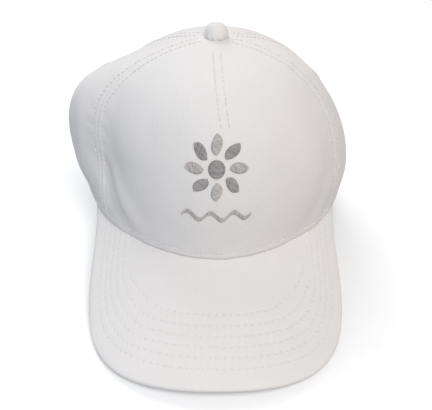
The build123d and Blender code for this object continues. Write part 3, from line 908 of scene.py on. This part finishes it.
def wave_threads():
    places = np.arange(-WAVE_LENGTH / 2 + 0.15, WAVE_LENGTH / 2, SATIN_PITCH)
    middle = WAVE_SWING * np.sin(TURN * WAVES * (places / WAVE_LENGTH + 0.5))
    half = WAVE_STROKE / 2
    lean = 0.35
    ends = pairs(places - lean, middle - half, places + lean, middle + half)
    return satin(ends + (0, WAVE_HEIGHT), 0.5)


# Alternate petals take the lighter or darker silver copy. This is painted sheen and painted shade for
# the change of sheen with stitch direction. The wave gets the painted sheen and the centre disc the
# painted shade.
light = [petal_threads(TURN * i / PETALS) for i in range(0, PETALS, 2)] + [wave_threads()]
dark = [petal_threads(TURN * i / PETALS) for i in range(1, PETALS, 2)] + [disc_threads()]
make_piece("badge_painted_sheen_threads", joined(light), painted_sheen_silver, "front_badge")
make_piece("badge_painted_shade_threads", joined(dark), painted_shade_silver, "front_badge")


# ---- eyelets

def spokes(outward, turns):
    """Directions away from the middle of a hole."""
    side = unit(np.cross([0.0, 0.0, 1.0], outward))
    return np.cos(turns)[:, None] * side + np.sin(turns)[:, None] * np.cross(outward, side)


def eyelet_threads(middle, outward):
    """Radial satin stitches that wrap from the cloth into the hole."""
    count = EYELET_STITCHES
    spoke = spokes(outward, np.arange(count) * TURN / count + chance.normal(0, 0.01, count))
    radii = np.array([4.4, 4.2, 3.7, 3.0, 2.4, 2.05, 1.95, 1.95, 2.1])
    lifts = np.array([-0.15, 0.15, 0.4, 0.5, 0.4, 0.1, -0.3, -0.9, -1.3])
    reach = chance.normal(0, 0.05, count)[:, None] * (radii > 4)
    centres = middle + spoke[:, None] * (radii + reach)[..., None] + outward * lifts[:, None]
    ups = np.broadcast_to(outward, centres.shape) + spoke[:, None] * -0.6
    return tubes(centres, unit(ups), np.full(len(radii), 0.24))


def eyelet_bed(middle, outward):
    """Cloth ring under the stitches, turned into the hole."""
    spoke = spokes(outward, np.linspace(0, TURN, 49))
    section = [(4.3, -0.1), (3.6, 0.12), (2.6, 0.2), (2.1, -0.1), (2.05, -0.6), (2.4, -1.1),
               (3.6, -0.95), (4.3, -0.3), (4.3, -0.1)]
    grid = np.stack([middle + spoke * radius + outward * lift for radius, lift in section])
    return grid.reshape(-1, 3), quads(*grid.shape[:2])[:, ::-1]


rings = [eyelet_threads(*axis) for axis in eyelets] + [eyelet_bed(*axis) for axis in eyelets]
make_piece("eyelet_threads", joined(rings), white_thread, "eyelet_stitching")


# ---- button

def make_button():
    """Cloth gathered over a domed shell, with soft radial tucks near its foot."""
    low, high = node_corners("button_cover")
    radius, foot, height = high[0], low[2], high[2] - low[2]
    turns = np.linspace(0, TURN, 145)
    climb = np.linspace(0, 1, 40)[:, None]
    tilt = climb * pi / 2
    out = radius * np.cos(tilt) ** 0.62
    z = foot + 0.12 + (height - 0.12) * np.sin(tilt) ** 0.9
    tuck = 0.16 * np.cos(11 * turns + np.sin(3 * turns)) * bump(climb, 0.4)
    out = out - 0.35 * bump(climb, 0.05) + tuck
    dome = stacked(out * np.cos(turns), out * np.sin(turns), z)
    dome[..., 2] += 0.08 * ripple(dome, 7, 9) * np.minimum(1, climb * 3)
    tucked = [(1.5, 0.6), (1.6, 0.25), (0.4, 0.0)]
    under = [stacked((radius - inset) * np.cos(turns), (radius - inset) * np.sin(turns),
                     foot + lift) for inset, lift in tucked]
    share = 1 - BUTTON_CLOTH / radius
    inside = dome * (share, share, 1)
    inside[..., 2] = foot + (dome[..., 2] - foot) * (1 - BUTTON_CLOTH / height)
    grid = np.concatenate([under, dome, inside[::-1], under[:1]])
    faces = quads(*grid.shape[:2])
    make_piece("button_cloth", welded(grid.reshape(-1, 3), faces), cap_cloth,
               "button_cover")


make_button()


# ---- visor

class Visor:
    """The visor's plan outline and upper surface, read from the CAD cover."""

    def __init__(self):
        self.tree = node_tree(["visor_top_cover"])
        self.pole = np.array([0.0, node_corners("visor_top_cover")[1][1]])
        self.turns = np.radians(np.linspace(-89.6, 89.6, 1001))
        self.rays = stacked(np.sin(self.turns), -np.cos(self.turns))
        self.back, self.rim = np.array([self.span(ray) for ray in self.rays]).T
        for _ in range(3):
            self.rim[1:-1] = eased(self.rim)
        self.fit_height()
        self.rim += RIM_REACH
        self.measure()

    def height_at(self, x, y):
        place = self.tree.ray_cast(Vector((x, y, 200)), Vector((0, 0, -1)))[0]
        return np.nan if place is None else place.z

    def span(self, ray):
        """Nearest and furthest reach of the visor along a ray from the pole."""
        def hit(reach):
            return not np.isnan(self.height_at(*(self.pole + ray * reach)))

        met = [reach for reach in np.arange(2, 140, 1.0) if hit(reach)]
        if not met:
            return 77.0, 77.1
        return boundary(hit, met[0], met[0] - 1, 10), boundary(hit, met[-1], met[-1] + 1, 10)

    def terms(self, x, y):
        return stacked(1.0, y, x ** 2 / 1e3, x ** 4 / 1e7, x ** 6 / 1e11)

    def fit_height(self):
        x, y, z = [], [], []
        for i in range(0, len(self.turns), 14):
            for share in np.linspace(0.05, 0.95, 12):
                reach = self.back[i] + (self.rim[i] - self.back[i]) * share
                place = self.pole + self.rays[i] * reach
                x.append(place[0])
                y.append(place[1])
                z.append(self.height_at(*place))
        x, y, z = np.array(x), np.array(y), np.array(z)
        self.curve = np.linalg.lstsq(self.terms(x, y), z, rcond=None)[0]

    def surface(self, places):
        x, y = places[..., 0], places[..., 1]
        points = stacked(x, y, self.terms(x, y) @ self.curve)
        slope = (2 * self.curve[2] * x / 1e3 + 4 * self.curve[3] * x ** 3 / 1e7
                 + 6 * self.curve[4] * x ** 5 / 1e11)
        return points, unit(stacked(-slope, -self.curve[1], 1.0))

    def measure(self):
        """Distance from the rim, across the cloth, along each ray."""
        edge = self.surface(self.pole + self.rays * self.rim[:, None])[0]
        lengths = line_lengths(edge)
        dense = at_lengths(edge, lengths, np.arange(0, lengths[-1], 0.15))
        tree = KDTree(len(dense))
        for i, point in enumerate(dense):
            tree.insert(point, i)
        tree.balance()
        share = np.linspace(0, 1, 60)
        self.reaches = self.rim[:, None] + (self.back - self.rim)[:, None] * share
        places = self.pole + self.rays[:, None] * self.reaches[..., None]
        points = self.surface(places)[0]
        self.inset = np.array([[tree.find(p)[2] for p in row] for row in points])
        self.inset = np.maximum.accumulate(self.inset, 1)

    def row_inset(self, level):
        """Real distance from the rim on each ray; the rows close up towards the sides."""
        side = ease(*VISOR_ROW_TURN, np.abs(self.turns))
        share = 1 - (1 - VISOR_ROW_SIDE_SHARE) * side
        return level * (1 - ease(0, VISOR_ROWS[0], level) * (1 - share))

    def contour(self, level):
        """Place on each ray at a level from the rim, stopping at the crown."""
        insets = self.row_inset(level)
        reach = np.array([np.interp(inset, d, r)
                          for inset, d, r in zip(insets, self.inset, self.reaches)])
        return self.pole + self.rays * reach[:, None]

    def shown(self, level):
        """The rays on which a level lies in front of the crown."""
        return self.row_inset(level) < self.inset[:, -1] - 2.5


visor = Visor()


def visor_levels():
    """Distances from the rim, closely spaced beside each stitch row."""
    levels = [1.7, 2.3]
    while levels[-1] < 112:
        near = min(abs(levels[-1] - row) for row in VISOR_ROWS)
        levels.append(levels[-1] + (0.24 if near < 1.0 else 0.8 if near < 3 else 1.6))
    return np.array(levels)


def visor_relief(grid, levels):
    """Quilting between stitch rows, the groove of each row and its needle holes."""
    levels = levels[:, None]
    first, last = VISOR_ROWS[0], VISOR_ROWS[-1]
    height = 0.1 * ripple(grid, 30, 12) + 0.2 * bump(levels - 4.2, 2.2)
    inside = ease(first - 4, first, levels) * (1 - ease(last, last + 4, levels))
    quilt = np.sin(pi * (levels - first) / (VISOR_ROWS[1] - first)) ** 2
    height += 0.07 * inside * quilt
    strength = 1 - 0.5 * ease(*VISOR_ROW_TURN, np.abs(visor.turns))
    for inset in VISOR_ROWS:
        lengths = line_lengths(visor.surface(visor.contour(inset))[0])
        along = (lengths - lengths[len(lengths) // 2]) / VISOR_PITCH
        hole = (along - np.round(along)) * VISOR_PITCH
        away = (levels - inset) ** 2 + hole ** 2
        height -= 0.05 * bump(levels - inset, 0.7)
        height -= HOLE_DEPTH * strength * np.exp(-(away / HOLE_RADIUS ** 2) ** 2)
    return height


def rim_line(inset, depth):
    """Line along the rim, at a distance in from it and below the upper surface."""
    edge, outward = visor.surface(visor.contour(inset))
    return edge - outward * depth


def make_visor():
    levels = visor_levels()
    points, normals = visor.surface(np.stack([visor.contour(level) for level in levels]))
    top = points + normals * visor_relief(points, levels)[..., None]
    roll = [(1.25, 0.04), (0.8, 0.2), (0.4, 0.5), (0.12, 1.0), (0.0, 1.6), (0.12, 2.2),
            (0.4, 2.7), (0.8, 3.0), (1.25, 3.16), (2.6, 3.2), (3.6, 3.1), (3.8, 2.7)]
    lining = [(1.6, 2.55), (0.85, 2.1), (0.7, 1.6), (0.85, 1.1), (1.5, 0.7)]
    rim = [rim_line(*step) for step in roll]
    inner = [rim_line(*step) for step in lining]
    inner += [points[i] - normals[i] * 0.62 for i in range(4, len(levels), 4)]
    grid = np.concatenate([rim[::-1], top, inner[::-1], rim[-1:]])
    faces = quads(*grid.shape[:2])[:, ::-1]
    piece = make_piece("visor_top_cloth", welded(grid.reshape(-1, 3), faces), cap_cloth,
                       "visor_top_cover")
    piece.data.set_sharp_from_angle(angle=SHARP_ANGLE)


def make_under_cloth():
    levels = np.concatenate([[3.0, 3.2], visor_levels()[2:]])
    points, normals = visor.surface(np.stack([visor.contour(level) for level in levels]))
    relief = visor_relief(points, levels) * 0.7
    outer = points - normals * (VISOR_THICKNESS - 0.12 + relief)[..., None]
    inner = points - normals * (VISOR_THICKNESS - 0.55)
    geometry = welded(*shell(outer[:, ::-1], inner[:, ::-1]))
    piece = make_piece("visor_under_cloth", geometry, under_cloth,
                       "visor_under_cover")
    piece.data.set_sharp_from_angle(angle=SHARP_ANGLE)


def visor_stitches(side):
    """Stitches between the needle holes, on the upper (1) or under (-1) side."""
    rows = []
    for inset in VISOR_ROWS:
        points, normals = visor.surface(visor.contour(inset))
        lengths = line_lengths(points)
        middle = lengths[len(lengths) // 2]
        first, last = lengths[visor.shown(inset)][[0, -1]]
        start = middle - int((middle - first) / VISOR_PITCH) * VISOR_PITCH
        wanted = np.arange(start, last, 0.25)
        up = unit(at_lengths(normals, lengths, wanted))
        lift = -0.19 if side > 0 else -VISOR_THICKNESS + 0.14
        line = at_lengths(points, lengths, wanted) + up * lift
        rows.append(stitches(line, up * side, 0.17, 0.08, VISOR_PITCH, 0.66))
    return joined(rows)


make_visor()
make_under_cloth()
make_piece("visor_stitches", visor_stitches(1), white_thread)
make_piece("visor_under_stitches", visor_stitches(-1), white_thread)


# ---- linings

TAPE_TOP = radians(83.5)
TAPE_HALF = 9.0
TAPE_WAVES = 85.5
BAND_END = radians(155.8)
BAND_HEIGHT = 30.0
BAND_DEPTH = 3.2
BAND_RADIUS = 88
VISOR_CORNER = radians(70.2)


def in_wide_opening(points):
    """True in the back opening and in the strip above it that the binding takes."""
    return in_opening(points) | in_opening(points - (0, 0, BINDING_REACH))


def make_tape(name, seam_bearing, bottom, before_depth, after_depth):
    """Seam tape with folded edges, sewn through on both sides of its seam."""
    rise = np.linspace(bottom, TAPE_TOP, 150)[:, None]
    middle = seam_bearing(rise)
    radius = crown.girth(middle, rise)
    half = np.minimum(TAPE_HALF, 0.42 * radius)
    across = np.linspace(-1, 1, 41)[None, :]
    bearing = middle + across * half / radius
    depth = before_depth + (after_depth - before_depth) * ease(-0.3, 0.3, across)
    away = np.abs(across) * half
    relief = 0.12 * bump(away - half + 1.2, 0.9) - 0.22 * bump(away - STITCH_ASIDE, 0.6)
    relief += 0.05 * np.sin((rise - bottom) * TAPE_WAVES) * bump(away - half, 3)
    cut = in_wide_opening if name == "back_seam_tape" else None
    outer = crown.lined(bearing, rise, depth)
    geometry = shell(outer, crown.lined(bearing, rise, depth + 0.5 + relief), cut)
    make_piece(name + "_cloth", geometry, tape_cloth, name)
    rise, middle, radius, half = (v[6:-6, 0] for v in (rise, middle, radius, half))
    wide = half > STITCH_ASIDE + 0.6
    rise, middle, radius = rise[wide], middle[wide], radius[wide]
    rows = []
    for side, depth in ((-1, before_depth), (1, after_depth)):
        bearing = middle + side * STITCH_ASIDE / radius
        line = crown.lined(bearing, rise, depth + 0.42)
        keep = ~cut(line) if cut else slice(None)
        rows.append(stitches(line[keep], -crown.normal(bearing, rise)[keep], 0.2, 0.16))
    return rows


def dart_bearing(rise):
    lean = dart_lean(crown.point(0.0, rise)[..., 2])
    return np.arcsin(np.clip(lean / crown.girth(0.0, rise), -0.5, 0.5))


inner_thread = []
for side, depths in (("left", (OVER_CLOTH, OVER_BUCKRAM)), ("right", (OVER_BUCKRAM, OVER_CLOTH))):
    front, rear = seams["front_" + side], seams["side_" + side]
    inner_thread += make_tape("front_seam_tape_" + side, front.bearing, front.low, *depths)
    inner_thread += make_tape("side_seam_tape_" + side, rear.bearing, rear.low, OVER_CLOTH,
                              OVER_CLOTH)
back = seams["back"]
inner_thread += make_tape("back_seam_tape", back.bearing, back.low, OVER_CLOTH, OVER_CLOTH)
inner_thread += make_tape("dart_tape", dart_bearing, radians(41), OVER_BUCKRAM, OVER_BUCKRAM)


def make_buckram():
    """Stiff mesh behind the front panel, short of its seams."""
    inset = 4.0
    bearing, rise = panel_grid(lambda rise: seams["front_left"].beside(rise, inset),
                               lambda rise: seams["front_right"].beside(rise, -inset),
                               np.linspace(0, 1, 131), 130)
    rise = np.minimum(rise + radians(0.8), radians(84))
    wobble = 0.06 * ripple(crown.point(bearing, rise), 9, 21)
    geometry = shell(crown.lined(bearing, rise, OVER_CLOTH),
                     crown.lined(bearing, rise, OVER_CLOTH + 0.8 + wobble))
    make_piece("buckram_mesh", geometry, mesh_cloth, "front_buckram")


make_buckram()


def band_depth(bearing):
    return BAND_DEPTH + 2.2 * ease(radians(130), radians(146), np.abs(bearing))


def band_bottom(bearing):
    past = ease(VISOR_CORNER - radians(15), VISOR_CORNER, np.abs(bearing))
    return -VISOR_THICKNESS + (VISOR_THICKNESS + 0.6) * past


def band_grid(bearing, share, depth, top=BAND_HEIGHT, bottom=None):
    """Points of a band inside the crown; share runs from its lower edge to its top."""
    start = band_bottom(bearing) if bottom is None else np.full_like(bearing, bottom)
    height = start + (top - start) * share
    rise = crown.rise_at_height(bearing, np.maximum(height, 0))
    points = crown.lined(bearing, rise, depth)
    points[..., 2] += np.minimum(height, 0)
    return points, crown.normal(bearing, rise), height


def make_band():
    bearing = np.linspace(-BAND_END, BAND_END, 521)[None, :]
    share = np.concatenate([np.linspace(0, 0.16, 12), np.linspace(0.19, 0.8, 14),
                            np.linspace(0.82, 1, 12)])[:, None]
    outer, normal, height = band_grid(bearing, share, band_depth(bearing))
    length = bearing * BAND_RADIUS
    rows = 0.24 * (bump(height - BASE_ROW, 0.6) + bump(height - BAND_HEIGHT + 2.2, 0.6))
    folds = 0.16 * bump(height - BAND_HEIGHT + 0.8, 0.9) + 0.2 * bump(height - 2.2, 1.5)
    slack = 0.3 * ripple(outer, 26, 31) * bump(height - 17, 9)
    slack += 0.12 * np.sin(length * 0.7 + 2 * np.sin(length * 0.13)) * bump(height - 7, 3)
    inner = outer - normal * (1.0 + folds - rows + slack)[..., None]
    make_piece("sweatband_cloth", shell(outer, inner), band_cloth,
               "sweatband")
    rows = []
    turn = np.linspace(-BAND_END + 0.02, BAND_END - 0.02, 700)
    for level in (BASE_ROW, BAND_HEIGHT - 2.2):
        rise = crown.rise_at_height(turn, level)
        line = crown.lined(turn, rise, band_depth(turn) + 0.9)
        rows.append(stitches(line, -crown.normal(turn, rise), 0.2, 0.18))
    return rows


inner_thread += make_band()


def make_padding():
    """Thin felt pad between the buckram and the sweatband at the forehead."""
    bearing = np.linspace(-radians(44), radians(44), 121)[None, :]
    share = np.linspace(0, 1, 30)[:, None]
    outer, normal, _ = band_grid(bearing, share, 2.3, 28.0, 2.0)
    edge = np.minimum(np.minimum(share, 1 - share) * 26, (1 - np.abs(bearing) / bearing.max()) * 60)
    puff = 0.25 + 0.4 * ease(0, 3, edge) + 0.04 * ripple(outer, 8, 41)
    inner = outer - normal * puff[..., None]
    return make_piece("forehead_pad", shell(outer, inner), foam_skin,
                      "sweatband_padding")


def make_label(node, middle, half, bottom, top):
    """Blank woven label with turned ends, sewn down on its two short sides."""
    bearing = np.linspace(middle - half, middle + half, 41)[None, :]
    share = np.linspace(0, 1, 31)[:, None]
    outer, normal, _ = band_grid(bearing, share, BAND_DEPTH + 1.15, top, bottom)
    edge = np.minimum(share, 1 - share) * (top - bottom)
    fold = 0.14 * bump(edge - 0.8, 0.9) - 0.12 * bump(edge - 1.8, 0.5)
    curl = 0.12 * ripple(outer, 14, 51) * ease(0, 4, edge)
    inner = outer - normal * (0.3 + fold + curl)[..., None]
    make_piece("blank_" + node, shell(outer, inner), label_cloth, node)


pad = make_padding()
make_label("size_label", 0.0, radians(9), 8, 24)
make_label("care_label", radians(100), radians(7), 4, 27)


# ---- back opening

def arch_line(count):
    """Points of the opening's outline in x and z with its outward direction."""
    limit = atan2(ARCH_HALF, ARCH_WALL - ARCH_TOP + ARCH_RADIUS)
    turn = np.linspace(-limit, limit, count)
    dome = stacked(ARCH_RADIUS * np.sin(turn), ARCH_TOP - ARCH_RADIUS + ARCH_RADIUS * np.cos(turn))
    left = stacked(-ARCH_HALF, np.linspace(0.2, ARCH_WALL, 22)[:-1])
    line = np.concatenate([left, dome, (left * (-1, 1))[::-1]])
    along = unit(np.gradient(line, axis=0))
    for _ in range(6):
        along[1:-1] = unit(eased(along))
    return line, stacked(-along[:, 1], along[:, 0])


back_tree = surface_tree([crown.point(np.radians(np.linspace(125, 235, 220))[None, :],
                                      np.radians(np.linspace(-30, 60, 180))[:, None])])


def make_binding():
    """Tape folded over the edge of the opening and sewn through."""
    line, outward = arch_line(150)
    outside = [(7.0, 0.45), (6.7, 0.55), (5.6, 0.66), (4.4, 0.5), (3.0, 0.62), (1.4, 0.7),
               (0.3, 0.66), (-0.4, 0.35), (-0.75, -0.4), (-0.4, -1.15), (0.3, -1.42),
               (1.4, -1.5), (3.0, -1.44), (4.4, -1.34), (5.6, -1.46), (6.7, -1.35), (7.0, -1.25)]
    inside = [(7.0, 0.05), (6.7, 0.06), (5.6, 0.1), (4.4, 0.06), (3.0, 0.1), (1.4, 0.12),
              (0.4, 0.12), (0.0, 0.05), (-0.2, -0.4), (0.0, -0.85), (0.4, -0.92),
              (1.4, -0.92), (3.0, -0.92), (4.4, -0.88), (5.6, -0.92), (6.7, -0.9), (7.0, -0.88)]
    sides = []
    for section in (outside, inside):
        rows = []
        for offset, lift in section:
            points, normals = seen_along_y(back_tree, line + outward * offset, RAY_START)
            ruffle = 0.07 * np.sin(np.arange(len(line)) * 0.9) * (offset > 5)
            rows.append(points + normals * (lift + ruffle)[..., None])
        sides.append(np.stack(rows))
    make_piece("binding_cloth", shell(*sides), tape_cloth, "arch_binding")
    points, normals = seen_along_y(back_tree, line + outward * BINDING_ROW, RAY_START)
    return [stitches(points + normals * 0.56, normals, 0.22, 0.18),
            stitches(points - normals * 1.4, -normals, 0.2, 0.16)]


inner_thread += make_binding()
make_piece("lining_stitches", joined(inner_thread), white_thread)


# ---- plastic and metal nodes

def finish(name, material):
    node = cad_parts[name]
    if not node.material_slots:
        node.data.materials.append(material)
    for slot in node.material_slots:
        slot.material = material


for node_name in ("hole_strap", "peg_strap", "hole_strap_tab", "peg_strap_tab"):
    finish(node_name, strap_plastic)
for node_name in ("button_shell", "button_prong", "button_backing"):
    finish(node_name, button_steel)
finish("visor_board", board_plastic)


# ---- camera, floor and light

def make_camera():
    """Camera in front and above, turned and rolled a little."""
    elevation, yaw, roll = (radians(a) for a in (35.0, -0.87, 0.64))
    target = Vector((1.07, 0.0, 9.1)) * MM
    back = Vector((sin(yaw) * cos(elevation), -cos(yaw) * cos(elevation),
                   sin(elevation)))
    data = bpy.data.cameras.new("camera")
    data.sensor_width = 36
    data.lens = 50.1
    data.clip_start = 0.01
    camera = placed("camera", data)
    camera.location = target + back * 0.4282
    turn = back.to_track_quat("Z", "Y")
    camera.rotation_mode = "QUATERNION"
    camera.rotation_quaternion = turn @ Quaternion((0, 0, 1), roll)
    scene.camera = camera


def make_floor():
    mesh = bpy.data.meshes.new("floor")
    corners = [(-4, -4, 0), (4, -4, 0), (4, 4, 0), (-4, 4, 0)]
    mesh.from_pydata(corners, [], [(0, 1, 2, 3)])
    floor = placed("floor", mesh)
    material = Shader("floor_paper", (0.97, 0.97, 0.97), 0.9)
    material.relief(material.noise(300, 2), 0.0001)
    mesh.materials.append(material.material)
    floor.location.z = -0.0003
    floor.visible_diffuse = False


def make_world():
    """Soft, even, slightly cool light from all round."""
    world = bpy.data.worlds.new("studio")
    world.use_nodes = True
    soft = world.node_tree.nodes["Background"]
    soft.inputs["Color"].default_value = (0.93, 0.965, 1.0, 1)
    soft.inputs["Strength"].default_value = 0.42
    scene.world = world


def make_light(name, place, size, power, colour):
    data = bpy.data.lights.new(name, "AREA")
    data.energy = power
    data.size = size
    data.color = colour
    lamp = placed(name, data)
    lamp.location = place
    aim = Vector((0, 0, 0.06)) - Vector(place)
    lamp.rotation_euler = aim.to_track_quat("-Z", "Y").to_euler()


make_camera()
make_floor()
make_world()
make_light("key", (0.2, -1.0, 1.2), 0.9, 17, (1.0, 0.985, 0.975))
make_light("back", (-0.5, 1.1, 1.0), 1.0, 12, (1.0, 0.99, 0.98))
make_light("left", (-1.3, -0.5, 0.4), 0.8, 1.7, (0.14, 0.44, 1.0))
make_light("right", (1.3, -0.5, 0.4), 0.8, 1.4, (1.0, 0.5, 0.22))
scene.view_settings.view_transform = "Standard"
